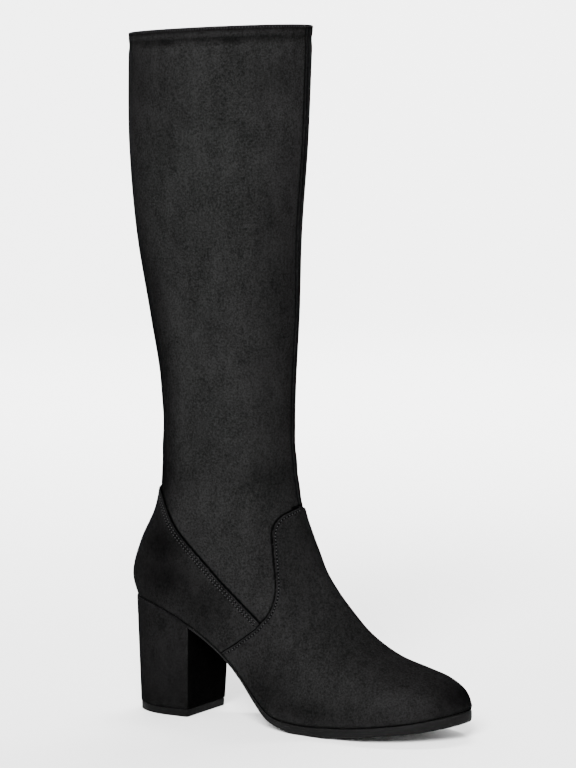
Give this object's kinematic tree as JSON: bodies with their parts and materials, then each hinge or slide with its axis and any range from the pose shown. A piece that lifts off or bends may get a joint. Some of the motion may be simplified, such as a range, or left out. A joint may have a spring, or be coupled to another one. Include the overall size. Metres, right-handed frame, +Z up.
{
  "type": "knee-high block-heel boot",
  "caption": "Right knee-high boot in black faux suede: a raised vamp and counter, a rounded toe, a slim shaft and a tall covered block heel.",
  "frame": {"origin": "on the ground, under the middle of the boot's bounding box", "axes": "+X to the toe, -Y to the outer side of the right foot, +Y to its inner side, +Z up the shaft"},
  "size_m": [0.2426, 0.089, 0.4465],
  "materials": {
    "suede": "black brushed faux suede with a soft mottled nap, matt",
    "suede_panel": "black brushed faux suede on a thin stiffened panel, matt",
    "sock_lining": "plain black textile sock over a thin board",
    "sole_rubber": "dark grey moulded rubber, satin, plain edge",
    "heel_cover": "black brushed faux suede stretched over a hard block",
    "lift_rubber": "dark grey hard rubber top piece, satin"
  },
  "bodies": {
    "root": {"upper": "suede", "vamp": "suede_panel", "counter": "suede_panel", "insole": "sock_lining", "outsole": "sole_rubber", "heel": "heel_cover", "heel_lift": "lift_rubber"}
  },
  "joints": []
}
